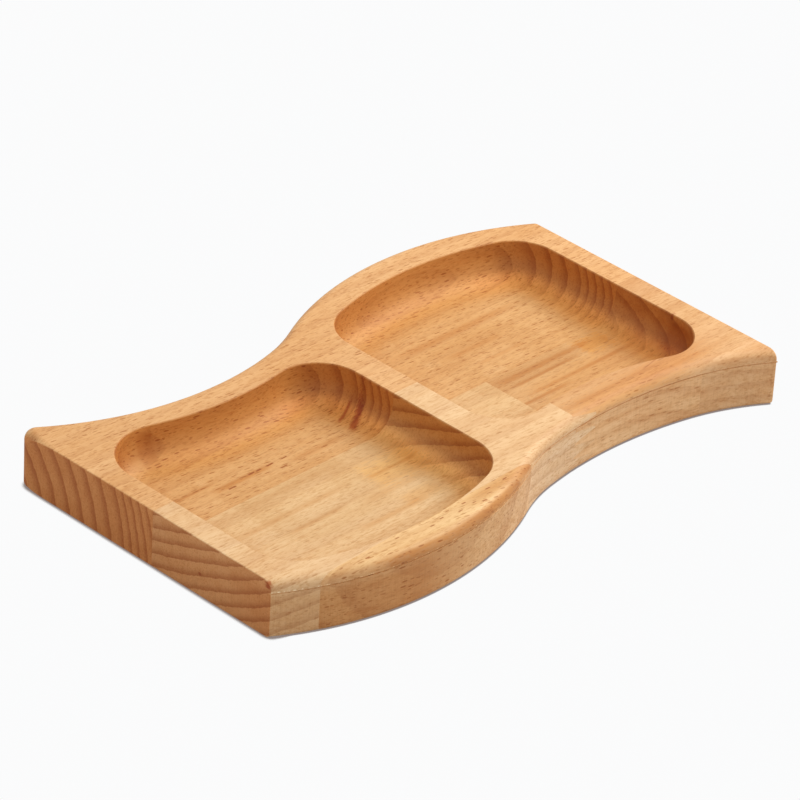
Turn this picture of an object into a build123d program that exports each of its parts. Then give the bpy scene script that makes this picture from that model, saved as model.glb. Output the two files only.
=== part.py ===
"""Coin tray: two coved pockets routed into an edge-glued beech panel with waved long sides."""

import os

from build123d import *

os.makedirs("parts", exist_ok=True)

# Panel, in millimetres: +X along the length, origin at the middle of the underside
tray_length = 214.0
tray_thickness = 20.0

# Waved sides: each swells on one half and draws in on the other, with a kink between the two.
# Swell is outward and draw is inward from the kink's half width; a share is the place along that half of the side.
kink_half_width = 49.3
kink_offset = 6.8
kink_radius = 60.0
bulge_swell = 15.3
bulge_crown_share = 0.475
bulge_corner_draw = 0.3
front_waist_draw = 4.7
front_waist_share = 0.35
front_flare_start_draw = 0.55
front_flare_start_share = 0.73
front_flare_swell = 11.1
back_waist_draw = 5.7
back_waist_share = 0.31
back_flare_swell = 12.4
turned_corner_length = 6.1
turned_corner_drop = 2.6

# Routed edges of the long sides, the fine line that the bit scores just below the rounding, and the eased ends
top_round_radius = 3.2
bottom_round_radius = 1.7
scored_line_drop = 0.8
scored_line_width = 0.4
scored_line_depth = 0.25
end_edge_radius = 0.5

# Pockets
end_rim_width = 8.6
divider_width = 9.4
bulge_rim_width = 9.8
waist_rim_width = 11.0
pocket_depth = 13.0
cove_radius = 9.0
outer_bulge_corner_radius = 16.0
inner_bulge_corner_radius = 16.5
outer_waist_corner_radius = 17.5
inner_waist_corner_radius = 15.5
mouth_edge_chamfer = 0.35

# The right pocket came out a little smaller: how much further in its walls lie, and its fuller corner
right_end_inset = 0.5
right_divider_inset = 1.4
right_bulge_inset = 1.9
right_waist_corner_radius = 14.5

# Boards of the panel: the front glue line passes outward from the kink at a slight slant in degrees,
# and the back one runs along the length, off the middle line
front_glue_swell = 3.2
front_glue_slant = 2.1
back_glue_line = 2.0
finger_length = 9.8
finger_tip_width = 0.8
finger_joint_start = 28.7
finger_count = 4

# Reach of a cut past the surface that it leaves open
overrun = 5.0

half_length = tray_length / 2
pocket_floor = tray_thickness - pocket_depth
bulge_half_width = kink_half_width + bulge_swell
front_glue_line = -kink_half_width - front_glue_swell
front_glue_plane = Plane.XZ.rotated((0, 0, front_glue_slant)).offset(-front_glue_line)


def bulge_points(inset=0):
    """Three points of the swelling half of the front side, from the left corner to the kink, moved in by an inset."""
    crown = bulge_crown_share * (half_length + kink_offset) - half_length
    return [
        (-half_length, inset - kink_half_width + bulge_corner_draw),
        (crown, inset - bulge_half_width),
        (kink_offset, inset - kink_half_width),
    ]


def front_hollow_points(inset=0):
    """Three points of the drawn-in half of the front side, from the kink to the start of the flare."""
    run = half_length - kink_offset
    return [
        (kink_offset, inset - kink_half_width),
        (kink_offset + front_waist_share * run, inset - kink_half_width + front_waist_draw),
        (kink_offset + front_flare_start_share * run, inset - kink_half_width + front_flare_start_draw),
    ]


def back_hollow_points(inset=0):
    """Three points of the drawn-in half of the back side, from the kink to the turned corner."""
    run = half_length - kink_offset
    return [
        (-kink_offset, kink_half_width - inset),
        (-kink_offset - back_waist_share * run, kink_half_width - back_waist_draw - inset),
        (turned_corner_length - half_length, kink_half_width + back_flare_swell - inset),
    ]


def turned(points):
    """The same points half a turn round, for the back side."""
    return [(-x, -y) for x, y in points]


def tray_outline(inset=0):
    """The whole plan of the panel, its waved sides moved in by an inset."""
    front_corner = (half_length, inset - kink_half_width - front_flare_swell)
    back_corner = (-half_length, kink_half_width + back_flare_swell - turned_corner_drop - inset)
    with BuildSketch() as outline:
        with BuildLine():
            front_bulge = ThreePointArc(*bulge_points(inset))
            front_hollow = ThreePointArc(*front_hollow_points(inset))
            front_flare = TangentArc(front_hollow @ 1, front_corner, tangent=front_hollow % 1)
            back_bulge = ThreePointArc(*turned(bulge_points(inset)))
            back_hollow = ThreePointArc(*back_hollow_points(inset))
            back_turn = TangentArc(back_hollow @ 1, back_corner, tangent=back_hollow % 1)
            Line(front_flare @ 1, back_bulge @ 0)
            Line(back_turn @ 1, front_bulge @ 0)
        make_face()
        kinks = outline.vertices().sort_by(lambda vertex: abs(vertex.X))[:2]
        fillet(kinks, radius=kink_radius)
    return outline.sketch


def long_edges(part, level, side):
    """The edges of one waved side, at the front (-1) or the back (1) and at the bottom (0) or the top (-1)."""
    edges = part.edges().group_by(Axis.Z)[level]
    edges = edges - edges.filter_by(Axis.Y)
    return edges.filter_by(lambda edge: edge.center().Y * side > 0)


def end_edges(part, level):
    """The straight edges of the two sawn ends, at the bottom (0) or the top (-1)."""
    return part.edges().filter_by(Axis.Y).group_by(Axis.Z)[level]


def pocket_cutter(end_inset, divider_inset, bulge_inset, waist_corner_radius):
    """Cutter of the left pocket: it follows the bulge in front and the hollow behind, a rim's width in.

    Its floor runs up into the walls in a cove, and the insets move three of the walls further in.
    """
    pocket_left = end_rim_width + end_inset - half_length
    pocket_right = -divider_width / 2 - divider_inset
    with BuildPart() as cutter:
        front_wall = ThreePointArc(*bulge_points(bulge_rim_width + bulge_inset))
        back_wall = ThreePointArc(*back_hollow_points(waist_rim_width))
        with BuildSketch(Plane.XY.offset(pocket_floor)):
            with Locations(((pocket_left + pocket_right) / 2, 0)):
                Rectangle(pocket_right - pocket_left, 2 * bulge_half_width)
            with Locations(front_wall.arc_center):
                Circle(front_wall.radius, mode=Mode.INTERSECT)
            with Locations(back_wall.arc_center):
                Circle(back_wall.radius, mode=Mode.SUBTRACT)
        extrude(amount=pocket_depth + overrun)
        left_corners, right_corners = cutter.edges().filter_by(Axis.Z).group_by(Axis.X)
        fillet(left_corners.sort_by(Axis.Y)[0], radius=outer_bulge_corner_radius)
        fillet(left_corners.sort_by(Axis.Y)[-1], radius=waist_corner_radius)
        fillet(right_corners.sort_by(Axis.Y)[0], radius=inner_bulge_corner_radius)
        fillet(right_corners.sort_by(Axis.Y)[-1], radius=inner_waist_corner_radius)
        fillet(cutter.edges().group_by(Axis.Z)[0], radius=cove_radius)
    return cutter.part


# Panel below the scored line, with the small rounding of its lower edges
line_top = tray_thickness - top_round_radius - scored_line_drop + scored_line_width / 2
line_bottom = line_top - scored_line_width
with BuildPart() as lower_panel:
    with BuildSketch():
        add(tray_outline())
    extrude(amount=line_bottom)
    fillet(long_edges(lower_panel, 0, -1), radius=bottom_round_radius)
    fillet(long_edges(lower_panel, 0, 1), radius=bottom_round_radius)
    fillet(end_edges(lower_panel, 0), radius=end_edge_radius)

# The thin layer of the scored line, set in from the sides
with BuildPart() as scored_layer:
    with BuildSketch(Plane.XY.offset(line_bottom)):
        add(tray_outline(scored_line_depth))
    extrude(amount=scored_line_width)

# Panel above it, with the full rounding of its upper edges
with BuildPart() as upper_panel:
    with BuildSketch(Plane.XY.offset(line_top)):
        add(tray_outline())
    extrude(amount=tray_thickness - line_top)
    fillet(long_edges(upper_panel, -1, -1), radius=top_round_radius)
    fillet(long_edges(upper_panel, -1, 1), radius=top_round_radius)
    fillet(end_edges(upper_panel, -1), radius=end_edge_radius)

# The whole panel with both pockets, the right one half a turn round from the left one
left_cutter = pocket_cutter(0, 0, 0, outer_waist_corner_radius)
right_cutter = pocket_cutter(
    right_end_inset, right_divider_inset, right_bulge_inset, right_waist_corner_radius
)
with BuildPart() as tray:
    add(lower_panel.part)
    add(scored_layer.part)
    add(upper_panel.part)
    add(left_cutter, mode=Mode.SUBTRACT)
    add(right_cutter, rotation=(0, 0, 180), mode=Mode.SUBTRACT)
    top_face = tray.faces().filter_by(Axis.Z).sort_by(Axis.Z)[-1]
    mouth_edges = [edge for wire in top_face.inner_wires() for edge in wire.edges()]
    chamfer(mouth_edges, length=mouth_edge_chamfer)

# Everything to the right of the finger joint, whose fingers run through the thickness like a saw's teeth
with BuildPart() as right_of_joint:
    with BuildSketch(Plane.XZ):
        with BuildLine():
            finger_pitch = tray_thickness / finger_count
            flat = finger_tip_width / 2
            tooth = []
            for finger in range(finger_count):
                foot = finger * finger_pitch
                middle = foot + finger_pitch / 2
                tooth.append((finger_joint_start, foot + flat))
                tooth.append((finger_joint_start + finger_length, middle - flat))
                tooth.append((finger_joint_start + finger_length, middle + flat))
                tooth.append((finger_joint_start, foot + finger_pitch - flat))
            right_end = half_length + overrun
            low, high = -overrun, tray_thickness + overrun
            Polyline(
                (right_end, low), (finger_joint_start, low), *tooth,
                (finger_joint_start, high), (right_end, high), close=True,
            )
        make_face()
    extrude(amount=bulge_half_width + overrun, both=True)

# Back board
with BuildPart() as back_stave:
    add(tray.part)
    split(bisect_by=Plane.XZ.offset(-back_glue_line), keep=Keep.BOTTOM)
back_stave.part.label = "back_stave"

# Middle board, before it is parted into its two lengths
with BuildPart() as middle_board:
    add(tray.part)
    split(bisect_by=Plane.XZ.offset(-back_glue_line), keep=Keep.TOP)
    split(bisect_by=front_glue_plane, keep=Keep.BOTTOM)

with BuildPart() as middle_stave_left:
    add(middle_board.part)
    add(right_of_joint.part, mode=Mode.SUBTRACT)
middle_stave_left.part.label = "middle_stave_left"

with BuildPart() as middle_stave_right:
    add(middle_board.part)
    add(right_of_joint.part, mode=Mode.INTERSECT)
middle_stave_right.part.label = "middle_stave_right"

# Front board: shaping left its bulge, and the tip of the flared right corner as a piece apart
with BuildPart() as front_board:
    add(tray.part)
    split(bisect_by=front_glue_plane, keep=Keep.TOP)

with BuildPart() as front_stave_bulge:
    add(front_board.part.solids().sort_by(Axis.X)[0])
front_stave_bulge.part.label = "front_stave_bulge"

with BuildPart() as front_stave_corner:
    add(front_board.part.solids().sort_by(Axis.X)[-1])
front_stave_corner.part.label = "front_stave_corner"

export_step(back_stave.part, "parts/back_stave.step")
export_step(middle_stave_left.part, "parts/middle_stave_left.step")
export_step(middle_stave_right.part, "parts/middle_stave_right.step")
export_step(front_stave_bulge.part, "parts/front_stave_bulge.step")
export_step(front_stave_corner.part, "parts/front_stave_corner.step")
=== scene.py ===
# %% [markdown]
# This is a small oiled beech tray for loose change, with two scooped pockets and sides that wave like an S.
# Its five lengths of board come from the packed model, already in their right places and at real size.
# Nothing of their shape is changed here: this scene gives them only their looks, a floor, light and a camera,
# because a piece that is right in the model needs no second one in the picture.

# %% The packed model
import math
from collections import namedtuple

import bpy
from mathutils import Matrix, Vector


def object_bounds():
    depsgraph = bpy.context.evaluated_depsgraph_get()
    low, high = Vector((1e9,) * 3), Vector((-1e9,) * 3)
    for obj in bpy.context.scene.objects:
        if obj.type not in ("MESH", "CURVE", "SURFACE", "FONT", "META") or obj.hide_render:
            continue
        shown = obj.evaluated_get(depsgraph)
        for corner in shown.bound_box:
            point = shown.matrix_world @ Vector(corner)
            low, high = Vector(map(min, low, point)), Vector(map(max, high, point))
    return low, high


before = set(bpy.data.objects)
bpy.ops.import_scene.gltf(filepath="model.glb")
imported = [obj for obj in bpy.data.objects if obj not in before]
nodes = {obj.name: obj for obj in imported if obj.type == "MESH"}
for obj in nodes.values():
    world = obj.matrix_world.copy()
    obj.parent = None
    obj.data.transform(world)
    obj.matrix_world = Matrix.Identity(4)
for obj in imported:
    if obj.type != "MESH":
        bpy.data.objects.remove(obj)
cad_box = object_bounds()
for name in sorted(nodes):
    print(name, "has", len(nodes[name].data.polygons), "faces")

# %% [markdown]
# Wood can be painted with a photograph or built from nodes; nodes are used here, because a board is solid:
# its grain has to run on from the top over the rounded edge and down into a pocket, and 3-D noise does that.
# A node tree takes many lines when each node is made by hand, so this helper gives short calls for it.

# %% A helper for node trees


class Tree:
    """A node tree with short calls; a value may be a number, a colour or another node's socket."""

    def __init__(self, tree):
        self.nodes = tree.nodes
        self.links = tree.links

    def put(self, socket, value):
        """Fill a socket: another node's socket is linked to it, and a plain value is written."""
        if isinstance(value, bpy.types.NodeSocket):
            self.links.new(value, socket)
        else:
            socket.default_value = value

    def node(self, kind, *values):
        """A new node with its first sockets filled."""
        node = self.nodes.new("ShaderNode" + kind)
        for socket, value in zip(node.inputs, values):
            self.put(socket, value)
        return node

    def group(self, group, **values):
        """The results of a node group; an underscore in the name of a value stands for a space."""
        node = self.nodes.new("ShaderNodeGroup")
        node.node_tree = group
        for label, value in values.items():
            self.put(node.inputs[label.replace("_", " ")], value)
        return node.outputs

    def math(self, operation, *values):
        node = self.node("Math", *values)
        node.operation = operation
        return node.outputs[0]

    def add(self, a, b):
        return self.math("ADD", a, b)

    def sub(self, a, b):
        return self.math("SUBTRACT", a, b)

    def mul(self, a, b):
        return self.math("MULTIPLY", a, b)

    def size(self, value):
        """The value without its sign."""
        return self.math("ABSOLUTE", value)

    def most(self, values):
        """The largest of several values."""
        best = values[0]
        for value in values[1:]:
            best = self.math("MAXIMUM", best, value)
        return best

    def split(self, vector):
        return tuple(self.node("SeparateXYZ", vector).outputs)

    def join(self, x, y, z=0.0):
        return self.node("CombineXYZ", x, y, z).outputs[0]

    def length(self, *parts):
        """The length of a vector with these parts."""
        node = self.node("VectorMath", self.join(*parts))
        node.operation = "LENGTH"
        return node.outputs["Value"]


print("calls:", ", ".join(call for call in vars(Tree) if not call.startswith("_")))

# %% [markdown]
# Painting takes a few calls more. Noise makes the wood uneven, and a soft step turns a number into a mask.
# A tint multiplies the colour below it, as oil does on real wood, and keeps the grain that is already there,
# which mixing in a second colour would cover. A glaze is such a tint together with its soft step:
# it starts at one value, is full at another, and its tint has a factor for red, green and blue.

# %% Noise, soft steps and glazes
noise_middle = 0.5
# A Mix node has sockets for every kind of value, and these are the places of those for colours
mix_factor, mix_first, mix_second, mix_result = 0, 6, 7, 2
Glaze = namedtuple("Glaze", "starts full tint")


class PaintTree(Tree):
    """A node tree that can also paint."""

    def noise(self, x, y, z, detail=2.0, roughness=0.5):
        """Noise at a place, a little above or below its middle."""
        node = self.nodes.new("ShaderNodeTexNoise")
        self.put(node.inputs["Vector"], self.join(x, y, z))
        node.inputs["Scale"].default_value = 1.0
        node.inputs["Detail"].default_value = detail
        node.inputs["Roughness"].default_value = roughness
        return node.outputs[0]

    def stretched(self, rates, x, y, z, **fineness):
        """Noise that changes at its own rate along, across and up the board."""
        place = [self.mul(part, rate) for part, rate in zip((x, y, z), rates)]
        return self.noise(*place, **fineness)

    def ramp(self, value, low, high):
        """A soft step: 0 below low and 1 above high, or the other way round when low is the larger."""
        falling = low > high
        below, above = float(falling), float(not falling)
        node = self.node("MapRange", value, min(low, high), max(low, high), below, above)
        node.interpolation_type = "SMOOTHSTEP"
        return node.outputs[0]

    def mix(self, factor, first, second, blend="MIX"):
        node = self.nodes.new("ShaderNodeMix")
        node.data_type = "RGBA"
        node.blend_type = blend
        for place, value in ((mix_factor, factor), (mix_first, first), (mix_second, second)):
            self.put(node.inputs[place], value)
        return node.outputs[mix_result]

    def tint(self, factor, colour, tint):
        """Multiply a colour by a tint, as strongly as the factor says."""
        return self.mix(factor, colour, tint + (1.0,), "MULTIPLY")

    def glaze(self, colour, value, glaze, strength=1.0):
        """Tint a colour more and more as the value goes from where the glaze starts to where it is full."""
        mask = self.ramp(value, glaze.starts, glaze.full)
        return self.tint(self.mul(mask, strength), colour, glaze.tint)


print("a glaze has:", ", ".join(Glaze._fields))

# %% [markdown]
# A node group is a recipe that several materials share, as a function is: each board gives it numbers
# of its own, and a change to the recipe reaches all boards. The groups here put out masks and other numbers,
# never a finished surface, and work in millimetres, which makes a ring 5 mm wide really 5 mm wide.

# %% An empty node group
mm_per_m = 1000.0


def new_group(name, numbers, results):
    """A node group that takes the point in the wood and some numbers, and gives some numbers."""
    group = bpy.data.node_groups.new(name, "ShaderNodeTree")
    group.interface.new_socket("Point", in_out="INPUT", socket_type="NodeSocketVector")
    for label in numbers:
        group.interface.new_socket(label, in_out="INPUT", socket_type="NodeSocketFloat")
    for label in results:
        group.interface.new_socket(label, in_out="OUTPUT", socket_type="NodeSocketFloat")
    given = group.nodes.new("NodeGroupInput").outputs
    put = group.nodes.new("NodeGroupOutput").inputs
    return group, PaintTree(group), given, put


print("groups so far:", len(bpy.data.node_groups))

# %% [markdown]
# A tree grows a ring each year, pale first and then a darker line of late wood.
# Seen in 3-D the rings are long tubes around the pith, so the distance from the pith gives the ring.
# A board is sawn off to one side of the pith: the same tubes then draw straight lines on the top and arcs
# on the sawn ends, and both come from this one group. A slow and a quick noise make the tubes waver.

# %% Growth rings
rings_group, tree, given, put = new_group(
    "growth_rings",
    ["Pith Y", "Pith Z", "Ring Width", "Shift", "Narrow From", "Waver", "Seed"],
    ["Late Wood"],
)
# How often the noises change, for each millimetre along and across the board
slow_along, slow_across = 0.012, 0.05
quick_along, quick_across = 0.05, 0.5
waver_mm = 9.0
extra_rings_per_mm = 0.134
# Late wood starts and is full at these shares of a ring's width
late_starts, late_full, ring_ends = 0.2, 0.95, 1.0
late_sharpness = 1.6
ring_contrast, faintest_ring = 1.1, 0.15

x, y, z = tree.split(given["Point"])
seeded = tree.add(tree.mul(z, slow_across), given["Seed"])
slow = tree.noise(tree.mul(x, slow_along), tree.mul(y, slow_across), seeded)
quick_seeded = tree.mul(seeded, quick_across / slow_across)
quick = tree.noise(tree.mul(x, quick_along), tree.mul(y, quick_across), quick_seeded)
bend = tree.mul(tree.sub(slow, noise_middle), tree.mul(given["Waver"], waver_mm))
shift = tree.add(tree.sub(quick, noise_middle), given["Shift"])
radius = tree.length(tree.sub(y, given["Pith Y"]), tree.sub(z, given["Pith Z"]))
radius = tree.add(radius, tree.add(bend, shift))
narrow = tree.math("MAXIMUM", tree.sub(radius, given["Narrow From"]), 0.0)
extra = tree.mul(narrow, extra_rings_per_mm)
ring = tree.add(tree.math("DIVIDE", radius, given["Ring Width"]), extra)
turn = tree.math("FRACT", ring)
late = tree.math("POWER", tree.ramp(turn, late_starts, late_full), late_sharpness)
late = tree.mul(late, tree.ramp(turn, ring_ends, late_full))
tone = tree.noise(tree.math("FLOOR", ring), given["Seed"], 0.0, detail=0.0)
tree.put(put["Late Wood"], tree.mul(late, tree.add(tree.mul(tone, ring_contrast), faintest_ring)))
print("growth_rings:", len(tree.nodes), "nodes")

# %% [markdown]
# Between the rings the wood is not even: fine fibres run along the board, with broader bands and slow
# clouds. All three are noise that is stretched along the length, and only the stretching differs.
# The tools leave fine lines of their own, straight up the sides and the ends: the same noise set on end.

# %% Fibres and tool lines
fibres_group, tree, given, put = new_group("fibres", ["Seed"], ["Fine", "Broad", "Cloud", "Upright"])
# How often each noise changes, for each millimetre along, across and up the board
fine_rates = (0.3, 1.5, 1.5)
broad_rates = (0.014, 0.33, 0.33)
cloud_rates = (0.02, 0.045, 0.06)
upright_rates = (2.4, 2.4, 0.12)
# The fine fibres run a little aslant, by so much across for each millimetre along
fibre_slant = 0.05

x, y, z = tree.split(given["Point"])
seeded = tree.add(z, given["Seed"])
slanting = tree.add(y, tree.mul(x, fibre_slant))
tree.put(put["Fine"], tree.stretched(fine_rates, x, slanting, seeded, detail=4.0, roughness=0.72))
tree.put(put["Broad"], tree.stretched(broad_rates, x, y, seeded))
tree.put(put["Cloud"], tree.stretched(cloud_rates, x, y, seeded, detail=1.0))
tree.put(put["Upright"], tree.stretched(upright_rates, x, y, z, roughness=0.6))
print("fibres:", len(tree.nodes), "nodes")

# %% [markdown]
# Beech is known by its ray flecks: short dark dashes, each the cut end of a thin band of cells.
# Scattered points do this well: a Voronoi texture gives the nearest point, and a small slanted ellipsoid
# around that point is the fleck. Its cells are longer than they are wide, so the dashes don't bunch up.

# %% Ray flecks
flecks_group, tree, given, put = new_group("ray_flecks", ["Length", "Width", "Amount", "Seed"], ["Fleck"])
fleck_slant = 0.13
# How many times half a fleck fits into its cell along, across and up the board
half_flecks_per_cell = (2.6, 5.0, 3.6)
# Distances from the fleck's middle, in half flecks, at which it has faded out and at which it is full
fleck_edge, fleck_core = 1.15, 0.7
fleck_contrast, faintest_fleck = 0.65, 0.35

x, y, z = tree.split(given["Point"])
slanting = tree.add(y, tree.mul(x, fleck_slant))
cell = tree.join(
    tree.math("DIVIDE", x, given["Length"]),
    tree.math("DIVIDE", slanting, given["Width"]),
    tree.add(tree.math("DIVIDE", z, given["Width"]), given["Seed"]),
)
scatter = tree.nodes.new("ShaderNodeTexVoronoi")
scatter.inputs["Scale"].default_value = 1.0
tree.put(scatter.inputs["Vector"], cell)
difference = tree.node("VectorMath", cell, scatter.outputs["Position"])
difference.operation = "SUBTRACT"
away = tree.split(difference.outputs[0])
reach = tree.length(*[tree.mul(part, times) for part, times in zip(away, half_flecks_per_cell)])
# The colour of a Voronoi cell is random: its red says whether there is a fleck, its green how dark it is
chance, darkness, _ = tree.split(scatter.outputs["Color"])
kept = tree.math("LESS_THAN", chance, given["Amount"])
depth = tree.add(tree.mul(darkness, fleck_contrast), faintest_fleck)
tree.put(put["Fleck"], tree.mul(tree.mul(tree.ramp(reach, fleck_edge, fleck_core), kept), depth))
print("ray_flecks:", len(tree.nodes), "nodes")

# %% [markdown]
# Some things on this tray happen once: a brown streak, a pale patch, a spot where oil soaked in; some light
# and shade is painted at single places too.
# Each is a long soft oval at a place measured on the object, with an edge made ragged by the fibres.
# It could be painted on by hand, but a mask with a place and a size is easier to move and to compare.

# %% A mark at one place
mark_group, tree, given, put = new_group(
    "mark", ["Ragged", "X", "Y", "Z", "Half Length", "Half Width", "Half Height", "Slant"], ["Mark"]
)
raggedness = 2.6
ragged_at_ends = 0.5
# Where the mark has faded out and where it is full, as shares of its half length and of its half width;
# upwards it fades as it does along its length
length_edge, length_core = 1.1, 0.6
width_edge, width_core = 1.15, 0.2

x, y, z = tree.split(given["Point"])
along = tree.sub(x, given["X"])
off = tree.sub(tree.sub(y, given["Y"]), tree.mul(along, given["Slant"]))
along = tree.math("DIVIDE", tree.size(along), given["Half Length"])
off = tree.math("DIVIDE", tree.size(off), given["Half Width"])
high = tree.math("DIVIDE", tree.size(tree.sub(z, given["Z"])), given["Half Height"])
ragged = tree.mul(tree.sub(given["Ragged"], noise_middle), raggedness)
along = tree.ramp(tree.add(along, tree.mul(ragged, ragged_at_ends)), length_edge, length_core)
off = tree.ramp(tree.add(off, ragged), width_edge, width_core)
high = tree.ramp(high, length_edge, length_core)
tree.put(put["Mark"], tree.mul(tree.mul(along, off), high))
print("mark:", len(tree.nodes), "nodes")

# %% [markdown]
# The pockets were cut with a router that went round and round, a little further in each time.
# How far a point is from the pocket's wall tells where the floor, the cove and the rings of the tool are.
# The walls are two flat ends, a rim's width from the end of the tray and half a divider from its middle,
# and two arcs of circles, with the centres and radii that they have in the model.
# The right pocket is the left one half a turn round, with three of its walls a little further in.

# %% Pocket walls and tool rings
pocket_group, tree, given, put = new_group("pocket_walls", [], ["In Pocket", "Inside", "Floor", "Ripple"])
end_rim, divider = 8.6, 9.4
half_length = cad_box[1][0] * mm_per_m
top_z = cad_box[1][2] * mm_per_m
end_wall_x = end_rim - half_length
divider_wall_x = -divider / 2.0
bulge_x, bulge_y, bulge_radius = -49.84, 57.39, 112.24
waist_x, waist_y, waist_radius = -41.37, 139.2, 106.66
right_end_inset, right_divider_inset, right_bulge_inset = 0.5, 1.4, 1.9
corner_blend = 9.0
# The pocket starts at its mouth edge, in mm inside the wall, and just below the top of the board
mouth_starts, mouth_full = -0.9, -0.2
top_starts, top_full = top_z - 0.02, top_z - 0.2
# The floor ends at the height at which the cove rises
floor_ends, floor_full = 9.5, 7.1
ripple_radians_per_mm = 2.6

x, y, z = tree.split(given["Point"])
right_half = tree.math("GREATER_THAN", x, 0.0)
# 1 in the left half and -1 in the right one, which turns the right pocket onto the left one
turn = tree.sub(1.0, tree.mul(right_half, 2.0))
x, y = tree.mul(x, turn), tree.mul(y, turn)
from_end = tree.sub(tree.sub(x, end_wall_x), tree.mul(right_half, right_end_inset))
from_divider = tree.sub(tree.sub(divider_wall_x, x), tree.mul(right_half, right_divider_inset))
bulge_off = tree.sub(y, tree.add(bulge_y, tree.mul(right_half, right_bulge_inset)))
from_bulge = tree.sub(bulge_radius, tree.length(tree.sub(x, bulge_x), bulge_off))
from_waist = tree.sub(tree.length(tree.sub(x, waist_x), tree.sub(y, waist_y)), waist_radius)
ends = tree.math("MINIMUM", from_end, from_divider)
sides = tree.math("MINIMUM", from_bulge, from_waist)
inside = tree.math("SMOOTH_MIN", ends, sides, corner_blend)
in_pocket = tree.mul(tree.ramp(inside, mouth_starts, mouth_full), tree.ramp(z, top_starts, top_full))
ripple = tree.math("SINE", tree.mul(inside, ripple_radians_per_mm))
tree.put(put["In Pocket"], in_pocket)
tree.put(put["Inside"], tree.math("MAXIMUM", inside, 0.0))
tree.put(put["Floor"], tree.mul(in_pocket, tree.ramp(z, floor_ends, floor_full)))
tree.put(put["Ripple"], tree.mul(in_pocket, ripple))
print("pocket_walls:", len(tree.nodes), "nodes, end walls", round(-end_wall_x, 2), "mm from the middle")

# %% [markdown]
# Now the wood itself, from light to dark, in the order in which a painter would glaze it.
# Each glaze multiplies the colour below it, so the darker tones stay warm and never turn grey.
# First comes the wood as it grew: clouds, late wood, bands and fibres. The rings show best on a sawn end.

# %% The wood as it grew
cloud_starts, cloud_full = 0.32, 0.68
late_wood_tint = (0.62, 0.42, 0.28)
rings_on_top, more_on_ends = 0.5, 1.7
dark_band = Glaze(starts=0.42, full=0.7, tint=(0.84, 0.7, 0.54))
pale_band = Glaze(starts=0.45, full=0.25, tint=(1.05, 1.1, 1.2))
dark_fibre = Glaze(starts=0.44, full=0.74, tint=(0.79, 0.66, 0.52))
pale_fibre = Glaze(starts=0.42, full=0.2, tint=(1.06, 1.12, 1.2))
# Rings that narrow only this far from the pith, in mm, don't narrow in the board at all
never_narrow = 500.0


def grown_wood(tree, point, to_end, look):
    """Base colour with its growth: clouds, rings, bands and fibres; gives the colour and the fibres."""
    pith_y, pith_z = look["pith"]
    rings = tree.group(
        rings_group, Point=point, Pith_Y=pith_y, Pith_Z=pith_z,
        Ring_Width=look["ring_width"], Shift=look["ring_shift"], Waver=look["waver"],
        Narrow_From=look.get("narrow_from", never_narrow), Seed=look["seed"],
    )
    fibres = tree.group(fibres_group, Point=point, Seed=look["seed"])
    cloud = tree.ramp(fibres["Cloud"], cloud_starts, cloud_full)
    colour = tree.mix(cloud, look["light"] + (1.0,), look["cloud"] + (1.0,))
    depth = tree.mul(tree.add(tree.mul(to_end, more_on_ends), rings_on_top), look["late"])
    colour = tree.tint(tree.mul(rings["Late Wood"], depth), colour, late_wood_tint)
    colour = tree.glaze(colour, fibres["Broad"], dark_band, look["bands"])
    colour = tree.glaze(colour, fibres["Broad"], pale_band, look["bands"])
    colour = tree.glaze(colour, fibres["Fine"], dark_fibre)
    colour = tree.glaze(colour, fibres["Fine"], pale_fibre)
    return colour, fibres


print("late wood is tinted by", late_wood_tint)

# %% [markdown]
# Then come the marks of one board, and some patches of painted light and shade at single places. Marks of one
# kind are joined first and tinted once:
# brown for growth and for painted shade, pale for sapwood and for painted light, golden oil, dark red mineral
# and bold dashes.
# Each board lists its own, in millimetres on the tray, because the eye knows a board by such places.

# %% The marks of one board
mark_tints = {
    "brown": (0.8, 0.6, 0.38),
    "pale": (1.07, 1.15, 1.3),
    "gold": (0.97, 0.8, 0.5),
    "red": (0.6, 0.3, 0.18),
    "dash": (0.54, 0.3, 0.15),
}


def mark(x, y, half_length, half_width, strength, slant=0.0, z=10.0, half_height=100.0):
    """The strength and the measures of a mark; without a height it goes right through the board."""
    measures = {"X": x, "Y": y, "Z": z, "Slant": slant}
    measures.update(Half_Length=half_length, Half_Width=half_width, Half_Height=half_height)
    return strength, measures


def dashes(half_length, half_width, strength, *places):
    """Short marks of one size at several places."""
    return [mark(x, y, half_length, half_width, strength) for x, y in places]


def marked_wood(tree, point, colour, fibres, look):
    """The colour with a board's own marks, some of which are painted light and shade."""
    for kind, tint in mark_tints.items():
        masks = []
        for strength, measures in look["marks"].get(kind, []):
            shape = tree.group(mark_group, Point=point, Ragged=fibres["Fine"], **measures)
            masks.append(tree.mul(shape["Mark"], strength))
        if masks:
            colour = tree.tint(tree.most(masks), colour, tint)
    return colour


print("kinds of mark:", ", ".join(mark_tints))

# %% [markdown]
# Over the marks lie the flecks, in two sizes, as on real beech. They show on the top and the sides.
# On the sawn ends each band of cells is only a line as thin as a hair, so there the flecks fade.

# %% The flecks of one board
large_fleck = {"Length": 3.5, "Width": 1.2}
small_fleck = {"Length": 2.1, "Width": 0.8}
small_fleck_strength = 0.8
small_fleck_seed_step = 7.3
fleck_tint = (0.62, 0.41, 0.22)
# How much a surface faces the end where flecks have gone, and where they are full
flecks_gone, flecks_full = 0.95, 0.5


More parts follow.
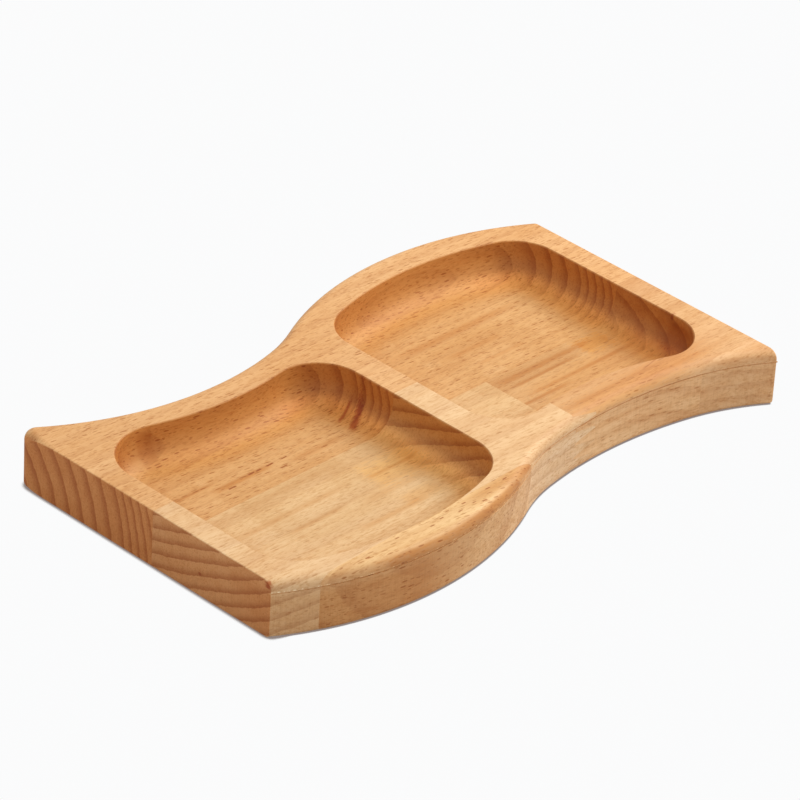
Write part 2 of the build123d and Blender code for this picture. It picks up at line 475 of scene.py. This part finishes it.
def flecked_wood(tree, point, to_end, colour, look):
    """The colour with large and small flecks; gives the colour and the flecks."""
    seed = look["seed"]
    given = {"Point": point, "Amount": look["flecks"]}
    large = tree.group(flecks_group, Seed=seed, **large_fleck, **given)
    small = tree.group(flecks_group, Seed=seed + small_fleck_seed_step, **small_fleck, **given)
    fleck = tree.most([large["Fleck"], tree.mul(small["Fleck"], small_fleck_strength)])
    fleck = tree.mul(fleck, tree.ramp(to_end, flecks_gone, flecks_full))
    return tree.tint(tree.mul(fleck, look["fleck_depth"]), colour, fleck_tint), fleck


print("large flecks in cells", large_fleck["Length"], "mm long")

# %% [markdown]
# The coves are tinted darker than the floor: painted shade of the pocket, with some darker oil, as they are
# cut half across the grain.
# They are darkest at the two ends of a pocket, where they cut right across the grain and drink more oil.
# Their foot is tinted golden: painted warm light, as the floor throws it back onto the walls.
# The foot on the side that turns away from the lamp is painted lighter and warmer, and on the lamp's side a
# little cooler: painted light.
# The floor is tinted a little darker and warmer, and keeps broad rings from the router.

# %% Oil, painted shade and painted light in the pockets
# The foot's painted warm light starts and is full at a distance from the wall, and the cove's painted shade
# at a height, in millimetres
foot_bounce_light = Glaze(starts=14.0, full=4.0, tint=(1.0, 0.88, 0.6))
cove_shade_and_oil = Glaze(starts=7.6, full=11.5, tint=(0.81, 0.755, 0.71))
end_cove_tint = (0.8, 0.64, 0.48)
# These two paint light on the foot, and start and are full at a distance to the right and to the left of the
# pocket's middle
pocket_middle_x = 51.5
shaded_foot_painted_light = Glaze(starts=18.0, full=38.0, tint=(1.2, 1.08, 0.92))
lit_foot_painted_tint = Glaze(starts=-18.0, full=-38.0, tint=(0.95, 1.02, 1.04))
floor_tint = (0.95, 0.95, 0.89)
# The distance from the wall is counted up and down again in half steps, so each whole step has one ring
router_offset, router_half_step = 2.0, 11.0
router_ring = Glaze(starts=3.0, full=8.0, tint=(0.88, 0.8, 0.68))
router_strength = 0.5


def pocket_oil_shade_and_light(tree, point, to_end, colour, walls):
    """The colour in the pockets: oil and painted shade up the coves, painted light at their foot, and the
    floor.
    """
    x, _, z = tree.split(point)
    inside, in_pocket = walls["Inside"], walls["In Pocket"]
    # Painted warm light: the foot of the coves is tinted golden
    foot = tree.mul(tree.ramp(inside, foot_bounce_light.starts, foot_bounce_light.full), in_pocket)
    colour = tree.tint(foot, colour, foot_bounce_light.tint)
    # Painted shade, with some oil: the coves are tinted darker as they rise
    wall = tree.mul(tree.ramp(z, cove_shade_and_oil.starts, cove_shade_and_oil.full), in_pocket)
    colour = tree.tint(wall, colour, cove_shade_and_oil.tint)
    colour = tree.tint(tree.mul(wall, to_end), colour, end_cove_tint)
    # Painted light: the low foot is tinted lighter and warmer away from the lamp, a little cooler on the
    # lamp's side
    low_foot_for_painted_light = tree.sub(foot, tree.mul(foot, wall))
    from_middle = tree.sub(x, tree.mul(tree.math("SIGN", x), pocket_middle_x))
    colour = tree.glaze(colour, from_middle, shaded_foot_painted_light, low_foot_for_painted_light)
    colour = tree.glaze(colour, from_middle, lit_foot_painted_tint, low_foot_for_painted_light)
    colour = tree.tint(walls["Floor"], colour, floor_tint)
    in_step = tree.math("PINGPONG", tree.add(inside, router_offset), router_half_step)
    return tree.glaze(colour, in_step, router_ring, tree.mul(walls["Floor"], router_strength))


print("router rings", 2.0 * router_half_step, "mm apart")

# %% [markdown]
# Sawn ends drink more oil than the faces and turn dark, so the surface's own direction gives a mask of them.
# Each board's sides have a tint of their own: partly painted light and shade, which makes them lighter or
# darker than the top, and partly the board's own tone. Ends and sides both keep the fine upright lines of the
# tools.
# Below the rounding of each long side, where the bit left a fine step, lies a painted highlight: a bright
# line. It is broken, and clearest towards the
# left: a line that is even all along looks drawn.

# %% Sawn ends and sides
end_starts, end_full = 0.6, 0.9
side_starts, side_full = 0.5, 0.9
end_grain_tint = (0.84, 0.6, 0.44)
# The tools' lines stop below the rounding of the upper edge
lines_end_z, lines_full_z = 16.5, 15.0
tool_line = Glaze(starts=0.4, full=0.75, tint=(0.92, 0.89, 0.87))
# The painted highlight: its height up the side in mm, its width and its tint
bright_line_z = 16.4
bright_line_edge, bright_line_core = 0.3, 0.1
painted_highlight_tint = (1.4, 1.75, 2.2)
# A noise breaks the painted highlight, which is weak to the right of one place and strong to the left of the
# other
breaks_per_mm = 0.5
break_ends, break_full = 0.47, 0.62
weak_x, strong_x = -4.0, -14.0
weak_share, more_at_left = 0.2, 0.8


def painted_highlight_line(tree, x, z):
    """Mask of the painted highlight along the line that the bit left below the rounding."""
    line = tree.ramp(tree.size(tree.sub(z, bright_line_z)), bright_line_edge, bright_line_core)
    breaks = tree.noise(tree.mul(x, breaks_per_mm), 0.0, 0.0, detail=3.0, roughness=0.8)
    strength = tree.add(tree.mul(tree.ramp(x, weak_x, strong_x), more_at_left), weak_share)
    return tree.mul(line, tree.mul(tree.ramp(breaks, break_ends, break_full), strength))


def sawn_wood(tree, point, to_end, to_side, colour, fibres, walls, look):
    """The colour on the sawn ends and the long sides; gives the colour and the end-grain mask."""
    x, _, z = tree.split(point)
    outside = tree.sub(1.0, walls["In Pocket"])
    end_grain = tree.mul(tree.ramp(to_end, end_starts, end_full), outside)
    colour = tree.tint(end_grain, colour, end_grain_tint)
    side = tree.mul(tree.ramp(to_side, side_starts, side_full), outside)
    # The side tint is partly painted light and shade: it makes a board's sides lighter or darker than its top
    colour = tree.tint(side, colour, look["side"])
    sawn = tree.mul(tree.most([side, end_grain]), tree.ramp(z, lines_end_z, lines_full_z))
    colour = tree.glaze(colour, fibres["Upright"], tool_line, sawn)
    # The bright line is a painted highlight, tinted pale and bluish
    return tree.tint(tree.mul(painted_highlight_line(tree, x, z), side), colour, painted_highlight_tint), end_grain


print("bright line at", bright_line_z, "mm")

# %% [markdown]
# One recipe then makes the material of any board. Oiled wood has a satin skin: quite rough, with a weak
# sheen, a little duller where the end grain opens the pores. A very small bump lets the light catch
# the fibres, sinks the flecks and raises the router's ripples, all far too fine to be worth modelling.

# %% The recipe of a board
plain_roughness, more_on_fibres, more_on_end_grain = 0.47, 0.14, 0.12
oil_ior = 1.47
oil_specular = 0.35
fibre_height, ripple_height, fleck_sink = 0.03, 0.006, 0.05
bump_strength = 0.5
bump_distance_m = 0.001


def beech(name, look):
    """The material of one board from its own look."""
    material = bpy.data.materials.new(name)
    material.use_nodes = True
    material.node_tree.nodes.clear()
    tree = PaintTree(material.node_tree)
    coordinates = tree.nodes.new("ShaderNodeTexCoord")
    in_mm = tree.node("VectorMath", coordinates.outputs["Object"], (mm_per_m, mm_per_m, mm_per_m))
    in_mm.operation = "MULTIPLY"
    point = in_mm.outputs[0]
    end_part, side_part, _ = tree.split(coordinates.outputs["Normal"])
    to_end, to_side = tree.size(end_part), tree.size(side_part)
    walls = tree.group(pocket_group, Point=point)
    colour, fibres = grown_wood(tree, point, to_end, look)
    colour = marked_wood(tree, point, colour, fibres, look)
    colour, fleck = flecked_wood(tree, point, to_end, colour, look)
    colour = pocket_oil_shade_and_light(tree, point, to_end, colour, walls)
    colour, end_grain = sawn_wood(tree, point, to_end, to_side, colour, fibres, walls, look)
    rough = tree.add(tree.mul(fibres["Fine"], more_on_fibres), tree.mul(end_grain, more_on_end_grain))
    height = tree.add(tree.mul(fibres["Fine"], fibre_height), tree.mul(walls["Ripple"], ripple_height))
    bump = tree.nodes.new("ShaderNodeBump")
    bump.inputs["Strength"].default_value = bump_strength
    bump.inputs["Distance"].default_value = bump_distance_m
    tree.put(bump.inputs["Height"], tree.sub(height, tree.mul(fleck, fleck_sink)))
    shader = tree.nodes.new("ShaderNodeBsdfPrincipled")
    shader.inputs["IOR"].default_value = oil_ior
    shader.inputs["Specular IOR Level"].default_value = oil_specular
    tree.put(shader.inputs["Base Color"], colour)
    tree.put(shader.inputs["Roughness"], tree.add(rough, plain_roughness))
    tree.put(shader.inputs["Normal"], bump.outputs["Normal"])
    tree.node("OutputMaterial", shader.outputs["BSDF"])
    print(name, "has", len(tree.nodes), "nodes")
    return material


def dress(node, material):
    """Give a piece its one material."""
    nodes[node].data.materials.clear()
    nodes[node].data.materials.append(material)


print("oil skin:", oil_ior, "index of refraction")

# %% [markdown]
# The back board carries the back half of both pockets. It was sawn with its rings almost upright,
# so its top has thin nearly straight lines, and it is full of short orange-brown flecks.
# A few brown streaks lie in the right pocket and next to the glue line in the left one.
#
# All that a board has of its own is in one list, its look, which is easier to compare than node settings:
# the light and the cloudy colour of its wood, the tint of its side, which is partly painted light and shade,
# and the seed of its noise;
# the place of the pith across and up, and the width, the shift and the waver of its rings, in mm;
# how strong late wood and bands are, how many cells have a fleck and how dark it is; and the marks, some of
# them painted light and shade.

# %% Back board
back_look = {
    "light": (0.81, 0.46, 0.2),
    "cloud": (0.77, 0.415, 0.165),
    "side": (0.95, 0.93, 0.93),
    "seed": 3.0,
    "pith": (90.0, -10.0),
    "ring_width": 6.25,
    "ring_shift": 3.75,
    "narrow_from": 80.0,
    "waver": 0.12,
    "late": 0.5,
    "bands": 0.25,
    "flecks": 0.62,
    "fleck_depth": 0.95,
    "marks": {
        "brown": [
            mark(53.0, 30.0, 26.0, 2.2, 0.6),
            mark(51.0, 19.5, 13.0, 1.6, 0.5),
            mark(54.0, 11.0, 12.0, 1.2, 0.5),
            mark(-60.0, 11.5, 13.0, 1.6, 0.85),
            mark(-78.0, 15.5, 9.0, 0.8, 0.6),
            mark(-30.0, 9.0, 12.0, 2.2, 0.4),
            mark(-77.0, 38.0, 3.0, 7.0, 0.4, z=12.0, half_height=6.5),
        ],
        "pale": [
            mark(45.0, 4.5, 4.5, 3.0, 0.6),
            mark(32.5, 20.0, 3.0, 2.2, 0.6),
            mark(30.0, 38.5, 2.6, 2.4, 0.5),
            mark(-71.5, 18.0, 2.0, 2.0, 0.5),
        ],
        "red": [
            mark(-10.0, 12.4, 5.8, 1.9, 1.0, slant=0.55),
            mark(-10.5, 17.2, 4.8, 0.9, 0.9, slant=0.35),
        ],
        "dash": [
            *dashes(1.6, 0.42, 1.0, (-66.0, 10.0), (-56.0, 12.0), (-48.0, 12.0), (-45.5, 8.3)),
            mark(-53.0, 12.0, 1.3, 0.42, 1.0),
            mark(-42.0, 12.0, 1.4, 0.42, 1.0),
        ],
    },
}
dress("back_stave", beech("beech_back", back_look))

# %% [markdown]
# The middle board was made up from two lengths with a finger joint, hidden in the right pocket.
# Its left length is the palest and calmest wood of the tray. Its rings lie flat, like shallow bowls on the
# sawn end, and a pith that lies far above the board draws them so.

# %% Middle board, left length
middle_left_look = {
    "light": (0.855, 0.565, 0.3),
    "cloud": (0.825, 0.52, 0.26),
    "side": (0.955, 0.955, 0.985),
    "seed": 11.0,
    "pith": (45.0, 179.0),
    "ring_width": 4.4,
    "ring_shift": 1.05,
    "waver": 0.2,
    "late": 0.5,
    "bands": 0.3,
    "flecks": 0.28,
    "fleck_depth": 0.6,
    "marks": {
        "brown": [
            mark(-62.0, -12.0, 24.0, 1.4, 0.5),
            mark(-20.0, -13.5, 12.0, 1.0, 0.6),
            mark(-58.0, -20.0, 12.0, 1.3, 0.45),
            mark(-28.0, -22.0, 14.0, 1.8, 0.4),
            mark(-38.0, -32.5, 15.0, 1.4, 0.55),
            # Painted shade: darker low down near the front left corner
            mark(-100.0, -50.0, 18.0, 20.0, 0.4, z=8.0, half_height=9.0),
        ],
        "pale": [
            mark(-44.0, -5.0, 7.0, 2.6, 0.5),
            # Painted light: paler on the long side around the kink, where it turns towards the lamp
            mark(12.0, -47.0, 22.0, 14.0, 0.9, z=7.0, half_height=9.5),
            mark(-50.0, -24.0, 50.0, 18.0, 0.5, z=7.0, half_height=2.0),
        ],
        "gold": [
            mark(-20.0, -14.0, 12.0, 9.0, 0.8),
            mark(-24.0, -30.0, 8.0, 4.0, 0.5),
        ],
        "red": [
            mark(-107.0, -47.8, 1.2, 1.5, 1.0, z=18.6, half_height=1.3),
            mark(-107.0, -19.0, 0.8, 0.8, 0.8, z=8.0, half_height=0.6),
        ],
    },
}
dress("middle_stave_left", beech("beech_middle_light", middle_left_look))

# %% [markdown]
# Its right length is redder, with long brown streaks side by side and lighter wood between them.
# Bands of noise alone would put the streaks anywhere, so the boldest are marks at their own places.

# %% Middle board, right length
middle_right_look = {
    "light": (0.77, 0.445, 0.2),
    "cloud": (0.735, 0.395, 0.168),
    "side": (1.12, 1.22, 1.38),
    "seed": 19.0,
    "pith": (31.7, -63.0),
    "ring_width": 6.15,
    "ring_shift": 0.0,
    "waver": 0.2,
    "late": 0.4,
    "bands": 0.5,
    "flecks": 0.4,
    "fleck_depth": 0.7,
    "marks": {
        "brown": [
            mark(60.0, -2.0, 24.0, 1.6, 0.85),
            mark(56.0, -6.0, 16.0, 0.9, 0.7),
            mark(66.0, -12.5, 26.0, 1.2, 0.7),
            mark(45.0, -15.5, 14.0, 0.8, 0.7),
            mark(48.0, -21.0, 16.0, 1.2, 0.7),
            mark(60.0, -42.0, 32.0, 6.0, 0.35, z=19.0, half_height=3.0),
            # Painted shade: darker on the right pocket's end wall, which turns away from the lamp
            mark(96.0, -27.0, 4.5, 9.0, 1.0, z=13.0, half_height=5.5),
        ],
        "pale": [
            mark(64.0, -8.0, 28.0, 1.8, 0.45),
            mark(64.0, -17.0, 28.0, 1.1, 0.4),
        ],
        "gold": [
            mark(82.0, -4.0, 7.0, 7.0, 1.0),
            mark(60.0, -42.0, 34.0, 6.0, 0.5, z=19.0, half_height=3.0),
            mark(70.0, -16.0, 28.0, 12.0, 0.4, z=7.0, half_height=6.0),
        ],
        "red": [
            mark(98.4, -22.6, 1.0, 0.7, 0.9, z=19.0, half_height=1.2),
            mark(71.0, -38.2, 6.0, 0.35, 0.45, slant=0.2, z=20.0, half_height=1.0),
        ],
    },
}
dress("middle_stave_right", beech("beech_middle_dark", middle_right_look))

# %% [markdown]
# Shaping the waves cut the front board away but for two remnants: the swelling front edge and one corner
# tip. The swelling edge is more orange than the rest, with bold scattered flecks, and its rings stand almost
# upright: where the side swells through them they come out as long bowls.

# %% Front board
front_look = {
    "light": (0.87, 0.56, 0.26),
    "cloud": (0.83, 0.5, 0.22),
    "side": (0.885, 0.815, 0.825),
    "seed": 31.0,
    "pith": (-150.0, 33.0),
    "ring_width": 5.5,
    "ring_shift": 4.3,
    "waver": 0.25,
    "late": 0.45,
    "bands": 0.45,
    "flecks": 0.6,
    "fleck_depth": 0.85,
    "marks": {
        "brown": [
            # The first is partly painted shade along the rounding of the swelling edge, partly the board's
            # own darker tone
            mark(-36.0, -61.0, 42.0, 7.0, 1.0, z=17.8, half_height=1.9),
            mark(-10.0, -54.5, 24.0, 3.2, 0.8, slant=0.12, z=18.8, half_height=1.6),
            # Painted shade: darker on the left part of the swelling side, which turns away from the lamp
            mark(-83.0, -58.0, 37.0, 30.0, 0.75, z=7.0, half_height=9.5),
        ],
        "pale": [
            # Painted light: paler on the side around the kink, where it turns towards the lamp
            mark(2.0, -50.0, 26.0, 14.0, 1.0, z=6.5, half_height=10.0),
        ],
        "dash": [
            *dashes(1.0, 0.32, 1.0, (-13.5, -54.6), (-17.0, -53.2), (-21.5, -55.1), (-27.0, -59.2)),
            *dashes(1.0, 0.32, 1.0, (-33.0, -56.1), (-44.0, -57.5), (-61.8, -56.4), (-75.9, -58.1)),
            *dashes(1.0, 0.32, 0.9, (-30.0, -57.8), (-36.5, -58.4), (-40.0, -56.0), (-49.0, -58.6)),
        ],
    },
}
dress("front_stave_bulge", beech("beech_front", front_look))

# %% [markdown]
# The corner tip lies more than half the tray further along the same board, and the wood is calmer there,
# close to the redder middle length beside it. Only what differs is written down again.

# %% Corner tip of the front board
corner_look = dict(front_look)
corner_look.update({
    "light": (0.8, 0.48, 0.23),
    "cloud": (0.77, 0.435, 0.195),
    "side": (0.99, 1.0, 1.05),
    "pith": (-50.0, -58.0),
    "ring_width": 4.6,
    "ring_shift": 1.6,
    "waver": 0.4,
    "late": 0.3,
    "flecks": 0.3,
    "fleck_depth": 0.5,
    "marks": {},
})
dress("front_stave_corner", beech("beech_front_corner", corner_look))

# %% [markdown]
# The floor is a plain pale sheet of paper. The camera sees it almost white and even, as in a product
# picture, while to the light it is an ordinary pale surface that throws some light back up on the tray.
# The tray's contact shadow must stay: the share of the sky that a floor point still sees gives a thin line,
# which reaches a little further out at the left end, away from the lamp.

# %% Floor
paper_white = (0.965, 0.967, 0.97, 1.0)
paper_in_light = (0.6, 0.595, 0.585, 1.0)
contact_shadow = (0.27, 0.22, 0.205, 1.0)
sky_of_shadow, sky_of_paper = 0.45, 0.85
shadow_reach_m = 0.0008
more_at_left_end_m = 0.0013
left_end_full_m = cad_box[0][0]
left_end_starts_m = left_end_full_m + 0.007
floor_width_m = 4.0
floor_below_m = 0.00005
contact_samples = 16

bpy.ops.mesh.primitive_plane_add(size=floor_width_m, location=(0.0, 0.0, -floor_below_m))
floor = bpy.context.object
floor.name = "floor"
paper = bpy.data.materials.new("pale_floor")
paper.use_nodes = True
paper.node_tree.nodes.clear()
tree = PaintTree(paper.node_tree)
coordinates = tree.nodes.new("ShaderNodeTexCoord")
left_end = tree.ramp(tree.split(coordinates.outputs["Object"])[0], left_end_starts_m, left_end_full_m)
contact = tree.nodes.new("ShaderNodeAmbientOcclusion")
contact.samples = contact_samples
tree.put(contact.inputs["Distance"], tree.add(tree.mul(left_end, more_at_left_end_m), shadow_reach_m))
sky = tree.ramp(contact.outputs["AO"], sky_of_shadow, sky_of_paper)
seen = tree.node("Emission", tree.mix(sky, contact_shadow, paper_white), 1.0)
diffuse = tree.node("BsdfDiffuse", paper_in_light)
path = tree.nodes.new("ShaderNodeLightPath")
blend = tree.node("MixShader", path.outputs["Is Camera Ray"], diffuse.outputs[0], seen.outputs[0])
tree.node("OutputMaterial", blend.outputs[0])
floor.data.materials.append(paper)
print("floor at", floor.location.z * mm_per_m, "mm")

# %% [markdown]
# A product like this is lit by a large soft lamp from above and one side, in a white room.
# The room is the world's even light; to the camera it shows as the same white as the floor.

# %% Room light
room_white = (1.0, 1.0, 0.99, 1.0)
room_strength = 0.7

world = bpy.data.worlds.new("studio")
bpy.context.scene.world = world
world.use_nodes = True
world.node_tree.nodes.clear()
tree = Tree(world.node_tree)
room = tree.node("Background", room_white, room_strength)
white = tree.node("Background", paper_white, 1.0)
path = tree.nodes.new("ShaderNodeLightPath")
blend = tree.node("MixShader", path.outputs["Is Camera Ray"], room.outputs[0], white.outputs[0])
tree.node("OutputWorld", blend.outputs[0])
print("room light:", room_strength)

# %% [markdown]
# The soft lamp stands high on the right: the sides that turn a little to it are brighter,
# and the pocket walls and the sawn end that turn away from it are darker, as in the picture.
# A square lamp almost as wide as three trays are long keeps the shadows in the pockets soft.

# %% Soft lamp
lamp_place_m = Vector((0.68, -0.18, 0.7))
lamp_width_m = 0.6
lamp_power_w = 7.1
lamp_colour = (1.0, 0.995, 0.98)

soft_light = bpy.data.lights.new("key", "AREA")
soft_light.shape = "SQUARE"
soft_light.size = lamp_width_m
soft_light.energy = lamp_power_w
soft_light.color = lamp_colour
lamp = bpy.data.objects.new("key", soft_light)
lamp.location = lamp_place_m
lamp.rotation_mode = "QUATERNION"
lamp.rotation_quaternion = (-lamp_place_m).to_track_quat("-Z", "Y")
bpy.context.scene.collection.objects.link(lamp)
print("soft lamp", round(lamp_place_m.length, 2), "m away with", lamp_power_w, "W")

# %% [markdown]
# The camera stands where the picture was taken from. Its angles were fitted to corners and edges of
# the tray, and say how far it looks round the tray, how far down, and how much it is tilted on its side.
# It stands far away and has a long lens, as is usual for small things: parallel edges stay almost parallel.

# %% Camera
azimuth = math.radians(-46.925)
elevation = math.radians(31.908)
roll = math.radians(3.364)
distance_m = 1.61874
shift_right_m = -0.001725
shift_up_m = 0.014113
picture_width_px = 800.0
focal_px = 5144.26
sensor_mm = 36.0
nearest_m, farthest_m = 0.1, 20.0

level = math.cos(elevation)
back = Vector((math.sin(azimuth) * level, -math.cos(azimuth) * level, math.sin(elevation)))
right = (-back).cross(Vector((0.0, 0.0, 1.0))).normalized()
up = right.cross(-back)
camera_right = right * math.cos(roll) + up * math.sin(roll)
camera_up = -right * math.sin(roll) + up * math.cos(roll)
lens = bpy.data.cameras.new("camera")
lens.sensor_width = sensor_mm
lens.lens = focal_px * sensor_mm / picture_width_px
lens.clip_start = nearest_m
lens.clip_end = farthest_m
camera = bpy.data.objects.new("camera", lens)
place = back * distance_m + camera_right * shift_right_m + camera_up * shift_up_m
turned = Matrix((camera_right, camera_up, back)).transposed().to_4x4()
camera.matrix_world = Matrix.Translation(place) @ turned
bpy.context.scene.collection.objects.link(camera)
bpy.context.scene.camera = camera
bpy.context.scene.view_settings.view_transform = "Standard"
print("camera", round(distance_m, 3), "m away, lens", round(lens.lens, 1), "mm")

# %% [markdown]
# At the end the box of the packed model is printed; only looks were added to it.

# %% Size and finish
print("model box", [[round(v, 4) for v in c] for c in cad_box])
